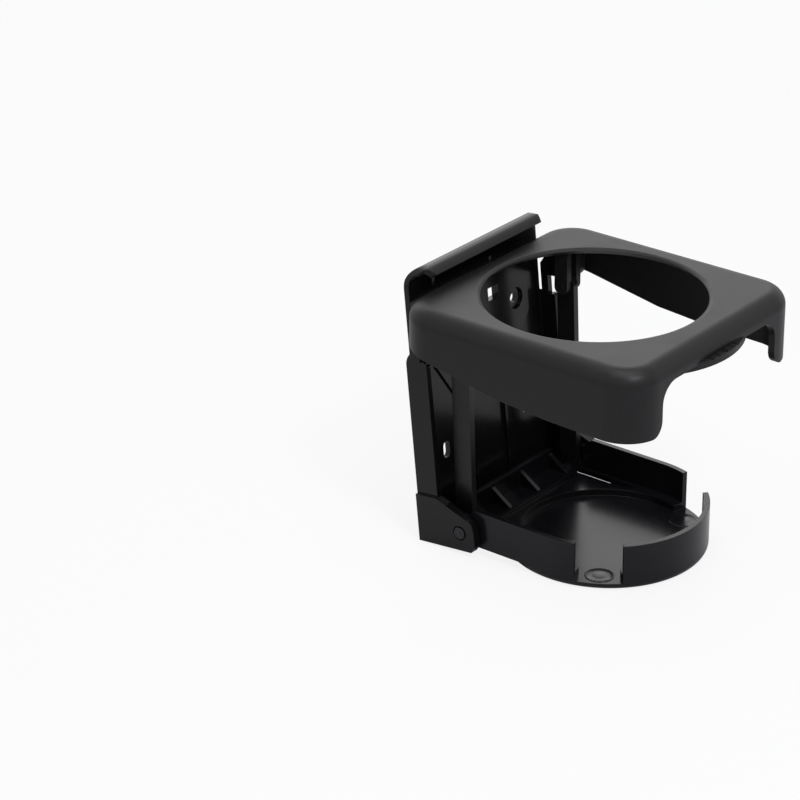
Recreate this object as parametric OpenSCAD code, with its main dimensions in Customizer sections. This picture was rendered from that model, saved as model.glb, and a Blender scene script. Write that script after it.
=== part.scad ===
// Folding car cup holder, shown open.
// A back plate with a hook lip carries a square ring and a round tray on two hinges.
// Two link arms tie the ring to the tray, so that both fold flat against the plate together.
// The origin lies on the cup's axis, at the height of the surface that the tray stands on.
// X runs across the holder, -Y points to the front and +Y to the back plate.

/* [Cup ring] */
// Diameter of the round hole that the cup drops through
cup_hole_d = 73; // [71:0.5:74]
// Width of the ring across its sides
ring_w = 94; // [92:0.5:96]
// Distance from the cup's axis to the ring's front edge
ring_front = 49; // [48:0.5:54]
// Distance from the cup's axis to the ring's rear edge
ring_rear = 46; // [45:0.25:46.5]
// Radius of the ring's four corners, seen from above
ring_corner_r = 13; // [10:0.5:21]
// Radius of the soft edge round the top of the ring
ring_edge_r = 5.5; // [4:0.25:6]
// Thickness of the ring's top plate
ring_top_t = 2.2; // [1.8:0.1:2.4]
// Thickness of the ring's side skirts
skirt_t = 2.4; // [1.8:0.1:2.8]
// Depth of the skirt at the rear corners
skirt_rear_depth = 14; // [12:0.5:16]
// Depth of the skirt where its slant ends
skirt_mid_depth = 21.6; // [18:0.2:22]
// Depth of the skirt at the front legs
skirt_front_depth = 24; // [22:0.5:26]
// Radius of the soft edge round the cup hole
hole_edge_r = 2; // [1:0.25:2]
// Width of the relief under the hole's edge, which the tray passes while it folds
hole_relief = 2; // [2:0.05:2.1]

/* [Front arch and tab] */
// Half the width of the arch that is cut in the front skirt
arch_half_w = 32; // [28:0.5:35]
// Depth of skirt left above the arch
arch_drop = 7; // [6:0.25:9]
// Radius of the arch's upper corners
arch_r = 7; // [3:0.5:9]
// Radius of the legs' lower inner corners
leg_round_r = 5; // [2:0.5:7]
// Half the width of the half-moon pull tab
tab_half_w = 20; // [14:0.5:24]
// How far the tab's middle reaches past the ring's front edge
tab_reach = 2.5; // [1:0.25:5]
// Thickness of the pull tab
tab_t = 2.2; // [1.5:0.1:3]

/* [Tray] */
// Outer diameter of the round tray, which nests in the cup hole
tray_d = 68.4; // [68:0.1:68.8]
// Distance of the tray's centre in front of the cup hole's axis
tray_forward = 6.7; // [6.4:0.1:6.8]
// Thickness of the tray's walls
tray_wall_t = 1.8; // [1.4:0.1:2.2]
// Height of the tray's walls above the surface it stands on
tray_wall_h = 16; // [13:0.5:20]
// Thickness of the tray's floor
tray_floor_t = 2.4; // [1.6:0.1:2.8]
// Height of the deck round the recess
deck_h = 4.8; // [4.2:0.1:5.4]
// Height of the arms' lower edges, which lie behind the ring when folded
arm_base_h = 3.05; // [2.9:0.05:3.6]
// Diameter of the round recess that the cup stands in
recess_d = 57.5; // [50:0.5:59]
// Radius of the edge under the disc
disc_edge_r = 2.2; // [2:0.1:2.3]
// Distance of the deck's rear edge behind the cup's axis
deck_rear = 36; // [34:0.25:37]
// Height of the cross wall at the back of the deck
cross_wall_h = 12; // [8:0.5:14]

/* [Back plate] */
// Half the width of the plate's lower part
plate_half_w = 37; // [37:0.25:38]
// Thickness of the plate
plate_t = 2; // [1.8:0.1:2.6]
// Lean of the plate from upright while the holder is open
lean = 5.5; // [5.5:0.5:5.5]
// Height of the plate's top edge above the ring hinge, along the plate
plate_above = 20; // [19:0.25:22]
// Depth of the plate's bottom edge below the ring hinge, along the plate
plate_below = 75.4; // [75:0.1:78]
// Half the width of the plate's upper part
upper_half_w = 34.6; // [33:0.1:34.8]
// Depth of the step between the plate's upper and lower parts below the ring hinge
step_below = 9.5; // [8:0.1:10.5]
// Radius of the plate's rounded top corners
top_corner_r = 7; // [5:0.5:11]
// Outer radius of the lip's curl
lip_r = 5; // [4:0.25:5.5]
// Angle through which the lip curls forward
lip_sweep = 150; // [95:5:160]
// Distance of the cheeks' front edge behind the ring hinge
cheek_front = 5.5; // [5:0.25:7]
// Thickness of the side cheeks
cheek_t = 2.2; // [1.8:0.1:2.2]
// How far the lower cheeks stand proud of the upper ones
cheek_step = 1; // [0.5:0.1:1.2]

/* [Screw holes in the plate] */
// Diameter of the two upper screw holes
screw_d = 3.6; // [3:0.1:4.5]
// Distance between the two upper screw holes
screw_spacing = 40; // [36:0.5:44]
// Depth of the upper screw holes below the ring hinge
screw_below = 8; // [7:0.25:10]
// Width of the two lower slots
slot_w = 3.4; // [3:0.1:4.5]
// Height of the two lower slots
slot_h = 6; // [5:0.25:9]
// Distance between the two lower slots
slot_spacing = 44; // [40:0.5:48]
// Depth of the lower slots below the ring hinge
slot_below = 48; // [44:0.5:52]

/* [Hinges and links] */
// Height of the ring's top face above the ring hinge
ring_rise = 12; // [12:0.25:12.5]
// Distance of the ring hinge in front of the plate's rear face
ring_hinge_out = 14; // [14:0.1:14.5]
// Distance of the tray hinge in front of the plate's rear face
tray_hinge_out = 17.5; // [17.5:0.1:17.8]
// Distance between the two hinges along the plate
hinge_span = 69.1; // [68.9:0.1:69.3]
// Distance of the ring hinge behind the cup's axis
ring_hinge_back = 36.1; // [35.9:0.1:36.3]
// How far the link's top pivot lies in front of the ring hinge
link_top_fwd = 4.3; // [4.1:0.1:4.5]
// How far the link's top pivot lies below the ring hinge
link_top_down = 3.2; // [3:0.1:3.3]
// How far the link's bottom pivot lies behind the tray hinge
link_low_back = 3.14; // [3:0.02:3.3]
// How far the link's bottom pivot lies below the tray hinge
link_low_down = 3.2; // [3.1:0.05:3.3]
// Width of the link arms
link_w = 7; // [6:0.25:7.5]
// Thickness of the link arms
link_t = 2.4; // [2:0.1:2.6]
// Distance of the link arms' inner faces from the middle
link_in = 28.2; // [28:0.1:28.4]
// Diameter of the ring hinge pins
ring_pin_d = 3; // [2.4:0.1:3.4]
// Diameter of the tray hinge pins
tray_pin_d = 3.2; // [2.6:0.1:3.6]
// Diameter of the link pins
link_pin_d = 2.4; // [2:0.1:2.6]
// Radial clearance of each pin in its bore
pin_gap = 0.05; // [0.02:0.01:0.08]
// Radial clearance of the bottom link pin, which takes up the linkage's error
loose_gap = 0.55; // [0.5:0.05:0.6]
// Gap between moving faces
side_gap = 0.3; // [0.2:0.05:0.3]

/* [Hidden] */
$fn = 96;
left = -1;
right = 1;
slice = 0.01;
past = 1;

// Hinge places in the open state
tray_hinge_z = 8.05;
ring_axis_z = tray_hinge_z + hinge_span * cos(lean) - (tray_hinge_out - ring_hinge_out) * sin(lean);
tray_axis_y = ring_hinge_back - (tray_hinge_out - ring_hinge_out) * cos(lean) - hinge_span * sin(lean);
top_z = ring_axis_z + ring_rise;
link_top_y = ring_hinge_back - link_top_fwd;
link_top_z = ring_axis_z - link_top_down;
link_low_y = tray_axis_y + link_low_back;
link_low_z = tray_hinge_z - link_low_down;
link_rise = link_top_z - link_low_z;
link_run = link_top_y - link_low_y;
link_len = sqrt(link_rise * link_rise + link_run * link_run);

// Places across the holder, counted from the middle
tray_r = tray_d / 2;
arm_in = tray_r - tray_wall_t;
cheek_in = tray_r + side_gap;
cheek_out = cheek_in + cheek_t;
low_cheek_out = cheek_out + cheek_step;
link_out = link_in + link_t;
lug_t = 2.4;
ring_lug_in = cheek_out + side_gap;
ring_lug_t = 3;
ring_lug_r = 4;
link_lug_r = 2.6;
low_lug_r = 2.6;
arm_boss_r = 5;
skirt_cut = 40;
rear_cut_half_w = ring_lug_in + ring_lug_t + 0.7;
rear_cut_drop = 6;
tray_y = -tray_forward;
notch_start = 17.2;
notch_end = 44.5;
plate_front = ring_hinge_out - plate_t;
tab_top_z = top_z - arch_drop + 0.5;
tab_root_y = -(ring_front - skirt_t - 1);
tab_tip_y = -(ring_front + tab_reach);
tab_sag = tab_root_y - tab_tip_y;
tab_r = (tab_half_w * tab_half_w + tab_sag * tab_sag) / (2 * tab_sag);
head_r = tray_pin_d / 2 + 0.5;
head_well_r = head_r + 0.5;
head_t = 1.2;
low_cheek_rise = 16.9;

// Half of an upright section, from the middle out to the reach, with a soft upper edge
module soft_section(reach, edge, z0, z1) {
    translate([0, z0])
        square([reach, z1 - z0 - edge]);
    translate([0, z0])
        square([reach - edge, z1 - z0]);
    translate([reach - edge, z1 - edge])
        intersection() {
            circle(r = edge);
            square([edge, edge]);
        }
}

// A square block with round corners and a soft upper edge, set in from the ring's outline
module soft_block(inset, edge, z0, z1) {
    corner = ring_corner_r - inset;
    x1 = ring_w / 2 - ring_corner_r;
    y0 = -ring_front + ring_corner_r;
    y1 = ring_rear - ring_corner_r;
    turn = [0, 90, 180, 270];
    place = [[x1, y1], [-x1, y1], [-x1, y0], [x1, y0]];
    for (k = [0 : 3]) {
        translate([place[k][0], place[k][1], 0])
            rotate([0, 0, turn[k]])
                rotate_extrude(angle = 90)
                    soft_section(corner, edge, z0, z1);
    }
    for (k = [0, 2]) {
        translate([place[k][0], place[k][1], 0])
            rotate([90, 0, turn[k]])
                linear_extrude(y1 - y0)
                    soft_section(corner, edge, z0, z1);
        translate([place[k + 1][0], place[k + 1][1], 0])
            rotate([90, 0, turn[k + 1]])
                linear_extrude(2 * x1)
                    soft_section(corner, edge, z0, z1);
    }
    translate([-x1, y0, z0])
        cube([2 * x1, y1 - y0, z1 - z0]);
}

// Places its children in the leaning frame of the plate, with the ring hinge at the origin
module on_plate() {
    translate([0, ring_hinge_back, ring_axis_z])
        rotate([-lean, 0, 0])
            children();
}

// A flat shape drawn in Y and Z, given a thickness along X from x0 to x1 on one side
module side_plate(side, x0, x1) {
    translate([side > 0 ? x0 : -x1, 0, 0])
        rotate([90, 0, 90])
            linear_extrude(x1 - x0)
                children();
}

// A round bar along X on one side, from x0 to x1
module side_bar(side, x0, x1, y, z, r) {
    translate([side > 0 ? x0 : -x1, y, z])
        rotate([0, 90, 0])
            cylinder(h = x1 - x0, r = r);
}

// The outer form of the ring, hollow below, with its soft top edge
module ring_body() {
    low_z = top_z - skirt_front_depth - past;
    difference() {
        soft_block(0, ring_edge_r, low_z, top_z);
        soft_block(skirt_t, ring_edge_r - skirt_t, low_z - past, top_z - ring_top_t);
    }
}

// Everything below the slanting lower edge of the side skirts
module skirt_trim() {
    rotate([90, 0, 90])
        linear_extrude(2 * ring_w, center = true)
            polygon([
                [ring_rear + past, -skirt_rear_depth],
                [5, -skirt_mid_depth],
                [-16, -skirt_front_depth + 0.8],
                [-ring_front - past, -skirt_front_depth],
                [-ring_front - past, -skirt_cut],
                [ring_rear + past, -skirt_cut]
            ]);
}

// The arch in the front skirt, which leaves a leg at each corner
module front_arch() {
    translate([0, -ring_front + 3 * skirt_t, 0])
        rotate([90, 0, 0])
            linear_extrude(4 * skirt_t) {
                translate([-arch_half_w, -skirt_cut])
                    square([2 * arch_half_w, skirt_cut - arch_drop - arch_r]);
                translate([-arch_half_w + arch_r, -skirt_cut])
                    square([2 * (arch_half_w - arch_r), skirt_cut - arch_drop]);
                for (s = [left, right]) {
                    translate([s * (arch_half_w - arch_r), -arch_drop - arch_r])
                        circle(r = arch_r);
                    translate([s * (arch_half_w + leg_round_r), -skirt_front_depth + leg_round_r])
                        difference() {
                            translate([s > 0 ? -leg_round_r - past : 0, -leg_round_r - past])
                                square([leg_round_r + past, leg_round_r + past]);
                            circle(r = leg_round_r);
                        }
                }
            }
}

// The cup hole with its rounded upper edge
module cup_hole() {
    translate([0, 0, top_z - skirt_cut])
        cylinder(h = 2 * skirt_cut, d = cup_hole_d, $fn = 180);
    translate([0, 0, top_z - ring_top_t - past])
        cylinder(h = hole_relief + past, r1 = cup_hole_d / 2 + hole_relief + past, r2 = cup_hole_d / 2, $fn = 180);
    rotate_extrude($fn = 180)
        difference() {
            translate([cup_hole_d / 2 - past, top_z - hole_edge_r])
                square([hole_edge_r + past, hole_edge_r + past]);
            translate([cup_hole_d / 2 + hole_edge_r, top_z - hole_edge_r])
                circle(r = hole_edge_r);
        }
}

// A lug that hangs from the ring's top plate, with a round lower end
module hanging_lug(side, x0, x1, y, z, r) {
    side_bar(side, x0, x1, y, z, r);
    side_plate(side, x0, x1)
        translate([y - r, z])
            square([2 * r, top_z - ring_top_t / 2 - z]);
}

// The half-moon tab that a finger pulls to open the holder
module pull_tab() {
    intersection() {
        translate([0, tab_tip_y + tab_r, tab_top_z - tab_t])
            cylinder(h = tab_t, r = tab_r, $fn = 180);
        translate([-tab_half_w, tab_tip_y - past, tab_top_z - tab_t - past])
            cube([2 * tab_half_w, tab_sag + past, tab_t + 2 * past]);
    }
}

// The square ring that holds the cup, one moulding with its skirts, lugs and tab
module cup_ring() {
    color("#3a3738")
    difference() {
        union() {
            difference() {
                ring_body();
                translate([0, 0, top_z]) {
                    skirt_trim();
                    front_arch();
                    translate([-rear_cut_half_w, ring_rear - 3 * skirt_t, -skirt_cut])
                        cube([2 * rear_cut_half_w, 4 * skirt_t, skirt_cut - rear_cut_drop]);
                }
            }
            pull_tab();
            for (side = [left, right]) {
                hanging_lug(side, ring_lug_in, ring_lug_in + ring_lug_t,
                            ring_hinge_back, ring_axis_z, ring_lug_r);
                hanging_lug(side, link_in - side_gap - lug_t, link_in - side_gap,
                            link_top_y, link_top_z, link_lug_r);
                hanging_lug(side, link_out + side_gap, link_out + side_gap + lug_t,
                            link_top_y, link_top_z, link_lug_r);
            }
        }
        cup_hole();
        for (side = [left, right]) {
            side_bar(side, ring_lug_in - past, ring_lug_in + ring_lug_t + past,
                     ring_hinge_back, ring_axis_z, ring_pin_d / 2 + pin_gap);
            side_bar(side, link_in - lug_t - past, link_out + lug_t + past,
                     link_top_y, link_top_z, link_pin_d / 2 + pin_gap);
        }
    }
}

// The disc with its recess, its rounded lower edge and its round wall
module tray_dish() {
    ring_1 = 23.8;
    ring_2 = 27;
    groove = 0.4;
    translate([0, tray_y, 0])
        rotate_extrude($fn = 180)
            difference() {
                union() {
                    square([tray_r - disc_edge_r, deck_h]);
                    translate([0, disc_edge_r])
                        square([tray_r, deck_h - disc_edge_r]);
                    translate([tray_r - disc_edge_r, disc_edge_r])
                        circle(r = disc_edge_r);
                }
                translate([-past, tray_floor_t])
                    square([recess_d / 2 + past, deck_h]);
                for (r = [ring_1, ring_2]) {
                    translate([r, -past])
                        square([groove, groove + past]);
                }
            }
}

// The wedge that opens one side of the dish, down to its floor, for a link arm
module tray_notch(side) {
    translate([0, tray_y, tray_floor_t])
        linear_extrude(tray_wall_h)
            polygon([
                [0, 0],
                [side * tray_d * cos(notch_start), -tray_d * sin(notch_start)],
                [side * tray_d * cos(notch_end), -tray_d * sin(notch_end)]
            ]);
}

// The wall round the front of the dish
module tray_front_wall() {
    difference() {
        translate([0, tray_y, deck_h - past])
            difference() {
                cylinder(h = tray_wall_h - deck_h + past, r = tray_r, $fn = 180);
                translate([0, 0, -past])
                    cylinder(h = tray_wall_h + past, r = arm_in, $fn = 180);
            }
        translate([-tray_d, tray_y, 0])
            cube([2 * tray_d, tray_d, 2 * tray_wall_h]);
    }
}

// One arm of the tray, which reaches back to the tray hinge
module tray_arm(side) {
    arm_top_rear = tray_axis_y - 3.5;
    side_plate(side, arm_in, tray_r)
        polygon([
            [tray_y, arm_base_h],
            [tray_axis_y, arm_base_h],
            [tray_axis_y + arm_boss_r, tray_hinge_z],
            [arm_top_rear, tray_wall_h],
            [tray_y, tray_wall_h]
        ]);
    side_bar(side, arm_in, tray_r, tray_axis_y, tray_hinge_z, arm_boss_r);
}

// The raised deck behind the dish, open for the link arms at both sides
module tray_deck() {
    difference() {
        translate([-arm_in - slice, tray_y, arm_base_h])
            cube([2 * arm_in + 2 * slice, deck_rear - tray_y, deck_h - arm_base_h]);
        translate([0, tray_y, -past])
            cylinder(h = deck_h + 2 * past, d = recess_d, $fn = 180);
    }
}

// The cross wall at the back of the deck, and its sloping gussets
module tray_cross_wall() {
    wall_t = 1.6;
    half_w = link_in - side_gap - lug_t;
    gusset_run = 10;
    translate([-half_w, deck_rear - wall_t, deck_h - slice])
        cube([2 * half_w, wall_t, cross_wall_h - deck_h]);
    for (x = [-half_w + wall_t / 2, -8, 8, half_w - wall_t / 2]) {
        translate([x - wall_t / 2, 0, 0])
            rotate([90, 0, 90])
                linear_extrude(wall_t)
                    polygon([
                        [deck_rear - wall_t / 2, deck_h - slice],
                        [deck_rear - wall_t / 2, cross_wall_h - 1],
                        [deck_rear - gusset_run, deck_h - slice]
                    ]);
    }
    translate([-half_w, deck_rear - gusset_run - wall_t, deck_h - slice])
        cube([2 * half_w, wall_t, 1.2]);
}

// The lugs on each side of a link arm's lower end
module tray_link_lugs(side) {
    for (x = [[link_in - side_gap - lug_t, link_in - side_gap], [link_out + side_gap, arm_in + slice]]) {
        side_bar(side, x[0], x[1], link_low_y, link_low_z, low_lug_r);
        side_plate(side, x[0], x[1])
            translate([link_low_y - low_lug_r, arm_base_h])
                square([2 * low_lug_r, link_low_z - arm_base_h]);
    }
}

// The slot in the deck that a link arm lies in, open at the rear
module link_slot(side) {
    x0 = link_in - side_gap;
    x1 = link_out + side_gap;
    edge_y = tray_y + sqrt(tray_r * tray_r - x0 * x0);
    side_plate(side, x0, x1)
        polygon([
            [3, deck_h + past],
            [3, arm_base_h + 1],
            [edge_y, arm_base_h + 0.1],
            [edge_y, -past],
            [deck_rear + past, -past],
            [deck_rear + past, deck_h + past]
        ]);
}

// The folding tray, one moulding: dish, wall, arms, deck and link lugs
module cup_tray() {
    color("#1d1c1f")
    difference() {
        union() {
            tray_dish();
            tray_front_wall();
            tray_deck();
            tray_cross_wall();
            for (side = [left, right]) {
                tray_arm(side);
                tray_link_lugs(side);
            }
        }
        for (side = [left, right]) {
            tray_notch(side);
            link_slot(side);
            side_bar(side, arm_in - past, tray_r + past,
                     tray_axis_y, tray_hinge_z, tray_pin_d / 2 + pin_gap);
            side_bar(side, link_in - lug_t - past, arm_in + 1,
                     link_low_y, link_low_z, link_pin_d / 2 + pin_gap);
        }
    }
}

// The plate's outline, seen from the front in its own frame
module plate_outline() {
    side_r = 3;
    wide_z = -plate_below + low_cheek_rise;
    translate([-low_cheek_out, -plate_below])
        square([2 * low_cheek_out, low_cheek_rise]);
    translate([-cheek_out, wide_z])
        square([2 * cheek_out, -step_below - side_r - wide_z]);
    translate([-cheek_out + side_r, -step_below - side_r - past])
        square([2 * (cheek_out - side_r), side_r + past]);
    for (s = [left, right]) {
        translate([s * (cheek_out - side_r), -step_below - side_r])
            circle(r = side_r);
        translate([s * (upper_half_w - top_corner_r), plate_above - top_corner_r])
            circle(r = top_corner_r);
    }
    translate([-upper_half_w, -step_below - side_r])
        square([2 * upper_half_w, plate_above + step_below + side_r - top_corner_r]);
    translate([-upper_half_w + top_corner_r, 0])
        square([2 * (upper_half_w - top_corner_r), plate_above]);
}

// The holes through the plate: two screw holes, two slots and the moulding's core holes
module plate_holes() {
    window = [5.5, 4.5];
    window_x = 8;
    core = [1.8, 2.4];
    for (s = [left, right]) {
        translate([s * screw_spacing / 2, -screw_below])
            circle(d = screw_d);
        translate([s * slot_spacing / 2, -slot_below]) {
            square([slot_w, slot_h - slot_w], center = true);
            for (e = [-1, 1]) {
                translate([0, e * (slot_h - slot_w) / 2])
                    circle(d = slot_w);
            }
        }
    }
    translate([window_x, -2])
        square(window, center = true);
    translate([-21.5, 12])
        square(core, center = true);
    translate([9, 9.5])
        square(core, center = true);
}

// The plate's sheet seen from the side, with the lip that curls forward at its top
module sheet_profile() {
    translate([plate_front, -plate_below])
        square([plate_t, plate_below + plate_above - lip_r]);
    translate([ring_hinge_out - lip_r, plate_above - lip_r])
        difference() {
            circle(r = lip_r);
            circle(r = lip_r - plate_t);
            translate([-2 * lip_r, -2 * lip_r])
                square([4 * lip_r, 2 * lip_r]);
            rotate(lip_sweep)
                square([2 * lip_r, 2 * lip_r]);
        }
}

// The sheet's outline seen from above, which narrows the lip towards its free edge
module lip_plan() {
    ridge_w = upper_half_w - top_corner_r + 3;
    edge_w = upper_half_w - top_corner_r;
    ridge_y = ring_hinge_out - lip_r - 1;
    polygon([
        [-plate_below, ring_hinge_out + past],
        [-plate_below, plate_front - 0.5],
        [-upper_half_w, plate_front - 0.5],
        [-ridge_w, ridge_y],
        [-edge_w, ridge_y - lip_r],
        [edge_w, ridge_y - lip_r],
        [ridge_w, ridge_y],
        [upper_half_w, plate_front - 0.5],
        [plate_below, plate_front - 0.5],
        [plate_below, ring_hinge_out + past]
    ]);
}

// The flat plate and its hook lip, cut to the plate's outline
module hooked_sheet() {
    intersection() {
        translate([0, 0, -plate_below - past])
            linear_extrude(plate_below + plate_above + 2 * past)
                lip_plan();
        rotate([90, 0, 90])
            linear_extrude(2 * low_cheek_out + 2 * past, center = true)
                sheet_profile();
        translate([0, ring_hinge_out + past, 0])
            rotate([90, 0, 0])
                linear_extrude(4 * lip_r)
                    plate_outline();
    }
}

// One side cheek with its upper ear for the ring and its lower ear for the tray
module cheek(side) {
    ear_r = ring_lug_r;
    knob_r = 1.6;
    neck_front = cheek_front + 2.7;
    neck_rear = ring_hinge_out - 3;
    neck_low = -step_below - 3.5;
    wide_z = -plate_below + low_cheek_rise;
    ear_out = tray_hinge_out - ring_hinge_out + 5.9;
    side_bar(side, cheek_in, cheek_out, 0, 0, ear_r);
    side_bar(side, cheek_in, cheek_out, cheek_front + knob_r, neck_low + 0.8, knob_r);
    side_plate(side, cheek_in, cheek_out)
        polygon([
            [0, ear_r],
            [0, -ear_r],
            [neck_front, -ear_r],
            [neck_front, neck_low],
            [cheek_front, neck_low],
            [cheek_front, wide_z - past],
            [ring_hinge_out, wide_z - past],
            [ring_hinge_out, -step_below - 3],
            [neck_rear, -step_below],
            [neck_rear, 0],
            [neck_rear - 3, ear_r]
        ]);
    side_plate(side, cheek_in, low_cheek_out)
        polygon([
            [cheek_front, wide_z],
            [3 - ear_out, -hinge_span + 5.2],
            [0.6 - ear_out, -hinge_span + 3.6],
            [-ear_out, -hinge_span + 1],
            [-ear_out, -plate_below + 2],
            [1.6 - ear_out, -plate_below],
            [ring_hinge_out, -plate_below],
            [ring_hinge_out, wide_z]
        ]);
}

// The raised panel that stiffens the plate, wide at the top and narrow below
module stiffening_panel() {
    panel_t = 0.8;
    translate([0, plate_front + slice, 0])
        rotate([90, 0, 0])
            linear_extrude(panel_t + slice)
                polygon([
                    [-27, 4.5], [27, 4.5], [27, -14], [15, -32],
                    [15, -plate_below + 4], [-15, -plate_below + 4], [-15, -32], [-27, -14]
                ]);
    for (s = [left, right]) {
        translate([s * 9 - 0.6, plate_front - 2, -plate_below + 4])
            cube([1.2, 2, 30]);
    }
}

// The back plate with its cheeks and its hook lip, one moulding
module back_plate() {
    well_t = 1;
    color("#232225")
    on_plate()
    difference() {
        union() {
            hooked_sheet();
            stiffening_panel();
            cheek(left);
            cheek(right);
        }
        translate([0, ring_hinge_out + past, 0])
            rotate([90, 0, 0])
                linear_extrude(3 * plate_t)
                    plate_holes();
        for (side = [left, right]) {
            translate([side * screw_spacing / 2, plate_front + well_t - 0.8, -screw_below])
                rotate([90, 0, 0])
                    cylinder(h = 2 * well_t, r = screw_d / 2 + 2);
            side_bar(side, cheek_in - past, cheek_out + past, 0, 0, ring_pin_d / 2 + pin_gap);
            side_bar(side, cheek_in - past, low_cheek_out + past,
                     ring_hinge_out - tray_hinge_out, -hinge_span, tray_pin_d / 2 + pin_gap);
            side_bar(side, low_cheek_out - head_t + 0.2, low_cheek_out + past,
                     ring_hinge_out - tray_hinge_out, -hinge_span, head_well_r);
        }
    }
}

// One link arm, a flat bar with round ends, slimmer at its lower end
module link_arm(side) {
    taper_end = 9;
    color("#29282b")
    difference() {
        union() {
            side_bar(side, link_in, link_out, link_top_y, link_top_z, link_w / 2);
            side_bar(side, link_in, link_out, link_low_y, link_low_z, low_lug_r);
            side_plate(side, link_in, link_out)
                translate([link_low_y, link_low_z])
                    rotate(-atan2(link_run, link_rise))
                        polygon([
                            [-low_lug_r, 0],
                            [low_lug_r, 0],
                            [link_w / 2, taper_end],
                            [link_w / 2, link_len],
                            [-link_w / 2, link_len],
                            [-link_w / 2, taper_end]
                        ]);
        }
        side_bar(side, link_in - past, link_out + past,
                 link_top_y, link_top_z, link_pin_d / 2 + pin_gap);
        side_bar(side, link_in - past, link_out + past,
                 link_low_y, link_low_z, link_pin_d / 2 + loose_gap);
    }
}

// A pin of the ring hinge, from the cheek's ear out through the ring's lug
module ring_pin(side) {
    color("#2e2d30")
    side_bar(side, cheek_in, ring_lug_in + ring_lug_t, ring_hinge_back, ring_axis_z, ring_pin_d / 2);
}

// A pin of the tray hinge, with a flat head sunk in the lower cheek
module tray_pin(side) {
    color("#2e2d30") {
        side_bar(side, arm_in, low_cheek_out - head_t + 0.2, tray_axis_y, tray_hinge_z, tray_pin_d / 2);
        side_bar(side, low_cheek_out - head_t + 0.2, low_cheek_out + 0.2, tray_axis_y, tray_hinge_z, head_r);
    }
}

// The pin at a link arm's upper end, held by the ring's lugs
module link_top_pin(side) {
    color("#2e2d30")
    side_bar(side, link_in - side_gap - lug_t, link_out + side_gap + lug_t,
             link_top_y, link_top_z, link_pin_d / 2);
}

// The pin at a link arm's lower end, held by the tray's lugs
module link_low_pin(side) {
    color("#2e2d30")
    side_bar(side, link_in - side_gap - lug_t, arm_in + 0.8,
             link_low_y, link_low_z, link_pin_d / 2);
}

back_plate();
cup_ring();
cup_tray();
link_arm(left);  // link_arm_left
link_arm(right);  // link_arm_right
ring_pin(left);  // ring_pin_left
ring_pin(right);  // ring_pin_right
tray_pin(left);  // tray_pin_left
tray_pin(right);  // tray_pin_right
link_top_pin(left);  // link_top_pin_left
link_top_pin(right);  // link_top_pin_right
link_low_pin(left);  // link_low_pin_left
link_low_pin(right);  // link_low_pin_right
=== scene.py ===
# %% [markdown]
# # Folding car cup holder: dressing the CAD frame
#
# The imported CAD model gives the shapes, the moving bodies and the scale.
# This lesson adds the camera, the light, the plastic materials and the small moulded details.
#
# The frame of reference is shared with the CAD: X runs across the holder, -Y points to the front,
# Z points up, and the origin is on the cup's axis, where the tray stands. The scene is in metres. Sizes of the
# part are written in millimetres and multiplied by MM, and the lights and the floor are in metres.

import math

import bpy
import numpy as np
from mathutils import Matrix, Vector


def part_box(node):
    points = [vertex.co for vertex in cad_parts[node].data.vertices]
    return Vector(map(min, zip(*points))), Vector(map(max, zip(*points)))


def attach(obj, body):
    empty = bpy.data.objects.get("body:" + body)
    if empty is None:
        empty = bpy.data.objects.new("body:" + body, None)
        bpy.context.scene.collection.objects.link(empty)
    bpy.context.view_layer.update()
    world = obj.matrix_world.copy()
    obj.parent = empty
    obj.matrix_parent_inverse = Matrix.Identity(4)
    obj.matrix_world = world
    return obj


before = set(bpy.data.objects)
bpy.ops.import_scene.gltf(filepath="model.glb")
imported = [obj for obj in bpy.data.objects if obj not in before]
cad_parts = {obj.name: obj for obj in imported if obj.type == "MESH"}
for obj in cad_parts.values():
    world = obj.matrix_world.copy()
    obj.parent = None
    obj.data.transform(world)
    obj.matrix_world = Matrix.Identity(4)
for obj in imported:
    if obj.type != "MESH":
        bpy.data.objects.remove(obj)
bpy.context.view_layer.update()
MM = 0.001

# %% [markdown]
# ## Camera
#
# The view was solved from points on the photographed ring, tray and plate.
# With azimuth $a$ and elevation $e$, the direction from the object to the camera is
# $v = (-\cos e \sin a, -\cos e \cos a, \sin e)$, and the lens follows from the focal length in pixels:
# $f_{mm} = f_{px} \cdot 36 / 800$.

# %% camera
AZIMUTH = math.radians(51.14)
ELEVATION = math.radians(25.52)
ROLL = math.radians(-0.47)
RING_TOP = 88.5  # height of the ring's top face, mm
DISTANCE = 1000.0  # from the lens to the ring's top face, mm
SIDEWAYS = 62.9  # the picture's middle lies this far left of the ring's middle, mm
UPWARDS = 34.5  # and this far below it, mm
PX_PER_MM = 3.094  # scale of the picture at the ring
FOCAL_PX = PX_PER_MM * DISTANCE
IMAGE_PX = 800
SENSOR = 36.0
NEAREST_SEEN = 0.05
FARTHEST_SEEN = 20.0


def camera_axes(azimuth, elevation, roll):
    """Right, up and backward axes of the camera.

    r = (cos a, -sin a, 0), u = v x r, then both turn by the roll about v.
    """
    back = np.array([
        -math.cos(elevation) * math.sin(azimuth),
        -math.cos(elevation) * math.cos(azimuth),
        math.sin(elevation),
    ])
    level = np.array([math.cos(azimuth), -math.sin(azimuth), 0.0])
    lift = np.cross(back, level)
    right = math.cos(roll) * level + math.sin(roll) * lift
    up = -math.sin(roll) * level + math.cos(roll) * lift
    return right, up, back


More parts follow.
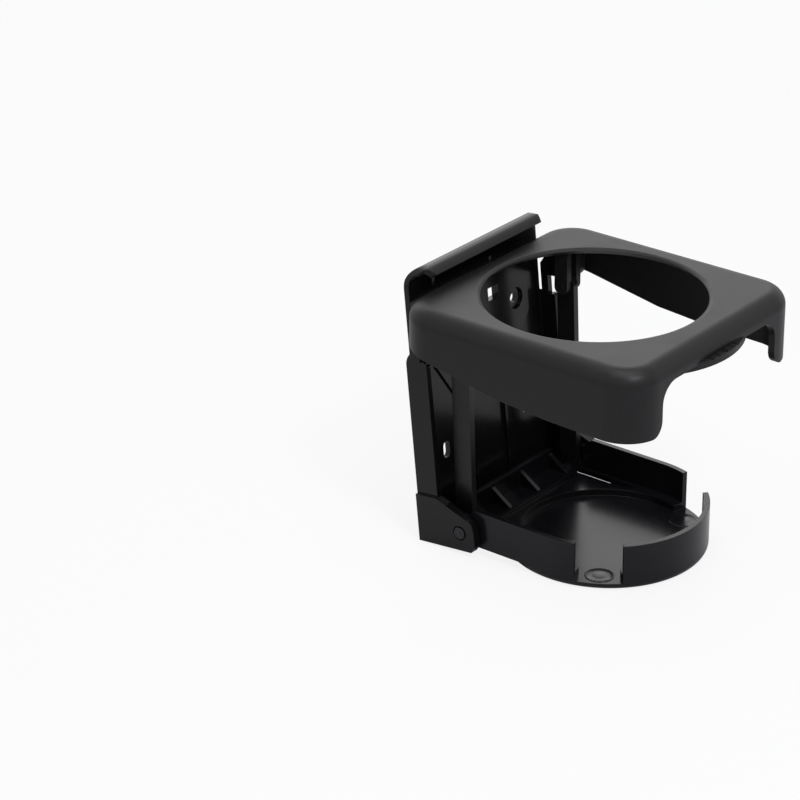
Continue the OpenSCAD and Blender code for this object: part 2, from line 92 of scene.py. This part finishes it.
right, up, back = camera_axes(AZIMUTH, ELEVATION, ROLL)
spot = np.array([0.0, 0.0, RING_TOP]) - SIDEWAYS * right - UPWARDS * up + DISTANCE * back
camera_data = bpy.data.cameras.new("camera")
camera_data.sensor_width = SENSOR
camera_data.lens = FOCAL_PX / IMAGE_PX * SENSOR
camera_data.clip_start = NEAREST_SEEN
camera_data.clip_end = FARTHEST_SEEN
camera = bpy.data.objects.new("camera", camera_data)
bpy.context.scene.collection.objects.link(camera)
pose = Matrix.Identity(4)
for row in range(3):
    pose[row][0] = right[row]
    pose[row][1] = up[row]
    pose[row][2] = back[row]
    pose[row][3] = spot[row] * MM
camera.matrix_world = pose
bpy.context.scene.camera = camera
print("lens in mm:", round(camera_data.lens, 1), "camera at", [round(v, 1) for v in spot])

# %% [markdown]
# ## Materials
#
# The real holder is moulded from black ABS, most likely, and its thin arms and pins from acetal.
# One picture of plastic could be wrapped round each piece, but a pattern worked out in the shader has
# no seams and no limit of detail. Every finish is therefore procedural and uses Object coordinates,
# so that a grain keeps its real size in millimetres. A colour is written as it looks on screen
# and turned to linear light by one function:
# $c = ((s + 0.055) / 1.055)^{2.4}$ above the short linear part of the curve.

# %% material helpers
ABS_IOR = 1.52
SMEAR_MM = 14.0  # how wide the patches of wear are
WEAR = 0.12  # how far they change the roughness, as a share
FADING = 0.08  # and the colour
EDGE_RADIUS = 0.28  # small radius that a mould leaves on every corner, mm
COAT_ROUGHNESS = 0.12


def linear(code):
    """Linear RGBA of an sRGB hex colour, c = ((s + 0.055) / 1.055) ** 2.4 for s above 0.04045."""
    parts = np.array([int(code[i:i + 2], 16) / 255.0 for i in (1, 3, 5)])
    rgb = np.where(parts <= 0.04045, parts / 12.92, ((parts + 0.055) / 1.055) ** 2.4)
    return tuple(float(v) for v in rgb) + (1.0,)


def add_node(tree, kind, links=None, **values):
    """Adds one shader node, sets its inputs and properties by name, and links the inputs in links."""
    made = tree.nodes.new(kind)
    for key, value in values.items():
        name = key.replace("_", " ").title()
        if name in made.inputs:
            made.inputs[name].default_value = value
        else:
            setattr(made, key, value)
    for name, output in (links or {}).items():
        tree.links.new(output, made.inputs[name])
    return made


def per_metre(size_mm):
    """Noise scale whose grains are about size_mm across, s = 1 / (size * 0.001)."""
    return 1.0 / (size_mm * MM)


def moulded_plastic(name, colour, roughness, grain_mm, grain_height_mm, wave_mm, wave_height_mm,
                    coat=0.0, specular=0.3):
    """An injection-moulded plastic: a grain from the tool, slow waves from shrinkage, and wear in the sheen.

    Bump height is added as grain + wave, and roughness varies by about a tenth round its mean.
    """
    material = bpy.data.materials.new(name)
    material.use_nodes = True
    tree = material.node_tree
    shader = tree.nodes["Principled BSDF"]
    coords = add_node(tree, "ShaderNodeTexCoord").outputs["Object"]
    grain = add_node(tree, "ShaderNodeTexNoise", {"Vector": coords}, scale=per_metre(grain_mm), detail=2.0)
    wave = add_node(tree, "ShaderNodeTexNoise", {"Vector": coords}, scale=per_metre(wave_mm), detail=1.0)
    smear = add_node(tree, "ShaderNodeTexNoise", {"Vector": coords}, scale=per_metre(SMEAR_MM), detail=4.0)
    edge = add_node(tree, "ShaderNodeBevel", samples=4)
    edge.inputs["Radius"].default_value = EDGE_RADIUS * MM
    slow = add_node(tree, "ShaderNodeBump", {"Height": wave.outputs["Fac"], "Normal": edge.outputs["Normal"]},
                    strength=1.0, distance=wave_height_mm * MM)
    fine = add_node(tree, "ShaderNodeBump", {"Height": grain.outputs["Fac"], "Normal": slow.outputs["Normal"]},
                    strength=1.0, distance=grain_height_mm * MM)
    sheen = add_node(tree, "ShaderNodeMapRange", {"Value": smear.outputs["Fac"]})
    sheen.inputs["To Min"].default_value = roughness * (1 - WEAR)
    sheen.inputs["To Max"].default_value = roughness * (1 + WEAR)
    dark = linear(colour)
    tint = add_node(tree, "ShaderNodeMix", {"Factor": smear.outputs["Fac"]}, data_type="RGBA")
    colour_in = [s for s in tint.inputs if s.type == "RGBA"]
    colour_in[0].default_value = tuple(v * (1 - FADING) for v in dark[:3]) + (1.0,)
    colour_in[1].default_value = tuple(v * (1 + FADING) for v in dark[:3]) + (1.0,)
    colour_out = [s for s in tint.outputs if s.type == "RGBA"][0]
    tree.links.new(colour_out, shader.inputs["Base Color"])
    tree.links.new(sheen.outputs["Result"], shader.inputs["Roughness"])
    tree.links.new(fine.outputs["Normal"], shader.inputs["Normal"])
    shader.inputs["IOR"].default_value = ABS_IOR
    shader.inputs["Specular IOR Level"].default_value = specular
    shader.inputs["Coat Weight"].default_value = coat
    shader.inputs["Coat Roughness"].default_value = COAT_ROUGHNESS
    return material


# %% the plastics
# ABS from a spark-eroded mould: a fine matt grain, so the ring has soft, wide highlights
textured_abs = moulded_plastic("abs_spark_eroded_texture", "#161516", 0.42,
                               0.55, 0.03, 9.0, 0.02, specular=0.22)
# ABS from a polished mould: the plate mirrors its surroundings, bent by slow waves
gloss_abs = moulded_plastic("abs_polished_mould", "#0e0e0f", 0.2,
                            1.2, 0.003, 12.0, 0.03, coat=0.05, specular=0.2)
# the same on the tray, a little duller
tray_abs = moulded_plastic("abs_polished_mould_tray", "#111013", 0.22,
                           1.2, 0.004, 11.0, 0.03, coat=0.05, specular=0.2)
# acetal, satin as it leaves the mould: the arms have a greasy sheen
link_acetal = moulded_plastic("acetal_satin", "#121113", 0.3,
                              0.9, 0.006, 8.0, 0.02, specular=0.25)
# acetal with a short grain, as on turned pins
pin_acetal = moulded_plastic("acetal_turned_pin", "#151417", 0.3,
                             0.5, 0.004, 5.0, 0.01, specular=0.3)

FINISH = {
    "back_plate": gloss_abs,
    "cup_ring": textured_abs,
    "cup_tray": tray_abs,
    "link_arm_left": link_acetal,
    "link_arm_right": link_acetal,
}
for name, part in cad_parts.items():
    part.data.materials.clear()
    part.data.materials.append(FINISH.get(name, pin_acetal))
print("nodes dressed:", len(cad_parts))

# %% [markdown]
# ## Moulded details
#
# The source holds the main shapes. These small forms sit on them: the raised word on the pull tab,
# the turned faces of the tray pins and the gate marks, where the plastic entered the tray's mould.
# They could be bumps in a material, but a bump has no outline and is lost in an export,
# so each is a mesh of its own that rides on its CAD body.
# A turned form is a profile $(r_k, h_k)$ spun about an axis:
# $p(k, \theta) = c + r_k (\cos\theta\, e_1 + \sin\theta\, e_2) + h_k n$.

# %% parametric surfaces


def mesh_piece(name, points, faces, material, body, smooth=True):
    """A new piece from an array of points and a list of faces, riding on a CAD body."""
    mesh = bpy.data.meshes.new(name)
    mesh.from_pydata((np.asarray(points) * MM).tolist(), [], faces)
    mesh.update()
    mesh.polygons.foreach_set("use_smooth", np.full(len(mesh.polygons), smooth))
    mesh.materials.append(material)
    made = bpy.data.objects.new(name, mesh)
    bpy.context.scene.collection.objects.link(made)
    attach(made, body)
    return made


def turned(centre, normal, profile, steps=64):
    """Points and faces of a closed turned form, p = c + r (cos t e1 + sin t e2) + h n.

    The profile runs from the axis at the back to the axis at the front, with both poles closed.
    """
    n = np.asarray(normal, float) / np.linalg.norm(normal)
    e1 = np.cross(n, [0.0, 0.0, 1.0]) if abs(n[2]) < 0.9 else np.cross(n, [1.0, 0.0, 0.0])
    e1 /= np.linalg.norm(e1)
    e2 = np.cross(n, e1)
    t = np.linspace(0.0, 2 * np.pi, steps, endpoint=False)
    inner = np.array(profile[1:-1], float)
    round_dir = np.cos(t)[:, None] * e1 + np.sin(t)[:, None] * e2
    rings = np.asarray(centre) + inner[:, None, :1] * round_dir + inner[:, None, 1:] * n
    poles = np.asarray(centre) + np.array([profile[0][1], profile[-1][1]])[:, None] * n
    points = np.vstack([rings.reshape(-1, 3), poles])
    k, i = np.meshgrid(np.arange(len(inner) - 1), np.arange(steps), indexing="ij")
    a = k * steps + i
    b = k * steps + (i + 1) % steps
    faces = np.stack([a, b, b + steps, a + steps], axis=-1).reshape(-1, 4).tolist()
    last = (len(inner) - 1) * steps
    back_pole, front_pole = len(points) - 2, len(points) - 1
    faces += [[back_pole, (j + 1) % steps, j] for j in range(steps)]
    faces += [[front_pole, last + j, last + (j + 1) % steps] for j in range(steps)]
    return points, faces


def raised_bar(start, end, width, low, high):
    """Eight corners and six faces of a flat bar from start to end in X and Y, between two heights."""
    a, b = np.asarray(start, float), np.asarray(end, float)
    along = (b - a) / np.linalg.norm(b - a) * width / 2
    side = np.array([-along[1], along[0]])
    flat = np.array([a - along - side, b + along - side, b + along + side, a - along + side])
    points = np.vstack([np.column_stack([flat, np.full(4, low)]), np.column_stack([flat, np.full(4, high)])])
    faces = [[3, 2, 1, 0], [4, 5, 6, 7], [0, 1, 5, 4], [1, 2, 6, 5], [2, 3, 7, 6], [3, 0, 4, 7]]
    return points, faces


# %% turned faces of the tray pins
# From the axis at the back to the axis at the front: share of the head's radius, and height in mm
PIN_FACE = [(0.0, -0.3), (0.98, -0.3), (0.98, 0.02), (0.86, 0.1), (0.7, 0.1),
            (0.58, -0.05), (0.5, -0.05), (0.42, 0.08), (0.2, 0.12), (0.0, 0.13)]
pin_low, pin_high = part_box("tray_pin_left")
pin_y = (pin_low[1] + pin_high[1]) / 2 / MM
pin_z = (pin_low[2] + pin_high[2]) / 2 / MM
head_r = (pin_high[2] - pin_low[2]) / 2 / MM
for side, node in ((-1, "tray_pin_left"), (1, "tray_pin_right")):
    low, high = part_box(node)
    face_x = (low[0] if side < 0 else high[0]) / MM
    profile = [(head_r * share, height) for share, height in PIN_FACE]
    points, faces = turned((face_x, pin_y, pin_z), (side, 0, 0), profile)
    mesh_piece(node + "_face", points, faces, pin_acetal, "back_frame")
    print(node, "face at x =", round(face_x, 2), "mm, radius", round(head_r, 2))

# %% raised word on the pull tab
ring_low, ring_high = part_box("cup_ring")
TAB_TOP = ring_high[2] / MM - 6.5
TAB_EDGE = 0.55  # from the tab's front edge to the letters
STROKE_W = 0.36
STROKE_SUNK = 0.05
STROKE_RAISED = 0.22
LETTER_H = 1.5
LETTER_W = 2.6
LETTER_GAP = 1.3
STROKES = {
    "O": [((0, 0), (1, 0)), ((1, 0), (1, 1)), ((1, 1), (0, 1)), ((0, 1), (0, 0))],
    "P": [((0, 0), (0, 1)), ((0, 1), (1, 1)), ((1, 1), (1, 0.5)), ((1, 0.5), (0, 0.5))],
    "E": [((0, 0), (0, 1)), ((0, 0), (1, 0)), ((0, 0.5), (0.8, 0.5)), ((0, 1), (1, 1))],
    "N": [((0, 0), (0, 1)), ((0, 1), (1, 0)), ((1, 0), (1, 1))],
}
points, faces = [], []
word_w = 4 * LETTER_W + 3 * LETTER_GAP
for place, letter in enumerate("OPEN"):
    corner = np.array([-word_w / 2 + place * (LETTER_W + LETTER_GAP), ring_low[1] / MM + TAB_EDGE])
    for start, end in STROKES[letter]:
        size = np.array([LETTER_W, LETTER_H])
        more, sides = raised_bar(corner + size * start, corner + size * end, STROKE_W,
                                 TAB_TOP - STROKE_SUNK, TAB_TOP + STROKE_RAISED)
        faces += [[v + len(points) * 8 for v in f] for f in sides]
        points.append(more)
mesh_piece("tab_word", np.vstack(points), faces, textured_abs, "ring", smooth=False)
print("word is", round(word_w, 1), "mm wide at z =", round(TAB_TOP, 2))

# %% gate marks on the tray's floor
tray_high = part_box("cup_tray")[1]
DISC_Y = -6.7  # the disc's axis
FLOOR_TOP = 2.4  # the disc's floor
MARK_R = 28.4  # from the disc's axis to a mark
MARK_ANGLE = math.radians(31.0)  # from the X axis towards the front
# A flat dish with a low raised rim, radius and height in mm
GATE_MARK = [(0.0, -0.1), (4.9, -0.1), (4.9, 0.08), (4.75, 0.18), (4.4, 0.18), (4.2, 0.05), (2.0, 0.03), (0.0, 0.03)]
for side in (-1, 1):
    mark = (side * MARK_R * math.cos(MARK_ANGLE), DISC_Y - MARK_R * math.sin(MARK_ANGLE), FLOOR_TOP)
    points, faces = turned(mark, (0, 0, 1), GATE_MARK)
    mesh_piece("gate_mark_" + ("left" if side < 0 else "right"), points, faces, tray_abs, "tray")
print("gate marks on the floor, tray top at", round(tray_high[2] / MM, 1))

# %% [markdown]
# ## Studio
#
# The real one was photographed on white. A white plane alone would go grey where its light falls off,
# so the floor also glows a little for the camera, and it still takes the soft shadow.
# Camera, glossy and transmission rays see a plain white surround, and the area lights shape the plastic:
# one broad light above, one low behind that gives the sheen on the ring, and a small one above the front
# for the corner highlight.

# %% floor and lights
FLOOR_HALF = 3.0
FLOOR_GLOW = 0.86  # share of the floor that the camera sees as plain white


def pale_floor(half, height):
    """A square floor of half-width half at the given height."""
    corners = np.array([[-half, -half, height], [half, -half, height], [half, half, height], [-half, half, height]])
    mesh = bpy.data.meshes.new("floor")
    mesh.from_pydata(corners.tolist(), [], [[0, 1, 2, 3]])
    made = bpy.data.objects.new("floor", mesh)
    bpy.context.scene.collection.objects.link(made)
    paint = bpy.data.materials.new("studio_paper")
    paint.use_nodes = True
    shader = paint.node_tree.nodes["Principled BSDF"]
    shader.inputs["Base Color"].default_value = linear("#f4f4f4")
    shader.inputs["Roughness"].default_value = 0.9
    rays = add_node(paint.node_tree, "ShaderNodeLightPath")
    share = add_node(paint.node_tree, "ShaderNodeMath", operation="MULTIPLY")
    paint.node_tree.links.new(rays.outputs["Is Camera Ray"], share.inputs[0])
    share.inputs[1].default_value = FLOOR_GLOW
    glow = add_node(paint.node_tree, "ShaderNodeEmission", color=linear("#ffffff"), strength=1.0)
    blend = add_node(paint.node_tree, "ShaderNodeMixShader")
    paint.node_tree.links.new(share.outputs[0], blend.inputs[0])
    paint.node_tree.links.new(shader.outputs[0], blend.inputs[1])
    paint.node_tree.links.new(glow.outputs[0], blend.inputs[2])
    paint.node_tree.links.new(blend.outputs[0], paint.node_tree.nodes["Material Output"].inputs["Surface"])
    mesh.materials.append(paint)
    return made


def area_light(name, place, target, size, power, colour="#ffffff"):
    """An area light of the given size in metres, at place, turned to shine on target."""
    data = bpy.data.lights.new(name, "AREA")
    data.shape = "RECTANGLE"
    data.size, data.size_y = size
    data.energy = power
    data.color = linear(colour)[:3]
    made = bpy.data.objects.new(name, data)
    made.location = place
    aim = Vector(target) - Vector(place)
    made.rotation_euler = aim.to_track_quat("-Z", "Y").to_euler()
    bpy.context.scene.collection.objects.link(made)
    return made


pale_floor(half=FLOOR_HALF, height=0.0)
half_way_up = (0.0, 0.0, 0.045)
area_light("overhead", place=(-0.1, -0.05, 0.9), target=half_way_up, size=(0.6, 0.6), power=3.0)
area_light("back_sheen", place=(0.55, 0.65, 0.5), target=half_way_up, size=(0.9, 0.6), power=2.0)
area_light("front_above", place=(-0.25, -0.6, 0.8), target=half_way_up, size=(0.22, 0.22), power=4.0,
           colour="#f0f2ff")

# %% white surround
FILL_LIGHT = 0.25  # what the surround gives to matt surfaces, where the camera sees 1
world = bpy.data.worlds.new("studio")
bpy.context.scene.world = world
world.use_nodes = True
tree = world.node_tree
tree.nodes.clear()
rays = add_node(tree, "ShaderNodeLightPath")
seen = add_node(tree, "ShaderNodeMath", operation="ADD", use_clamp=True)
tree.links.new(rays.outputs["Is Camera Ray"], seen.inputs[0])
tree.links.new(rays.outputs["Is Glossy Ray"], seen.inputs[1])
seen_all = add_node(tree, "ShaderNodeMath", operation="ADD", use_clamp=True)
tree.links.new(seen.outputs[0], seen_all.inputs[0])
tree.links.new(rays.outputs["Is Transmission Ray"], seen_all.inputs[1])
fill = add_node(tree, "ShaderNodeBackground", color=linear("#ffffff"), strength=FILL_LIGHT)
plain = add_node(tree, "ShaderNodeBackground", color=linear("#ffffff"), strength=1.0)
mix = add_node(tree, "ShaderNodeMixShader")
tree.links.new(seen_all.outputs[0], mix.inputs[0])
tree.links.new(fill.outputs[0], mix.inputs[1])
tree.links.new(plain.outputs[0], mix.inputs[2])
out = add_node(tree, "ShaderNodeOutputWorld")
tree.links.new(mix.outputs[0], out.inputs["Surface"])

scene = bpy.context.scene
scene.view_settings.view_transform = "Standard"
scene.view_settings.look = "None"
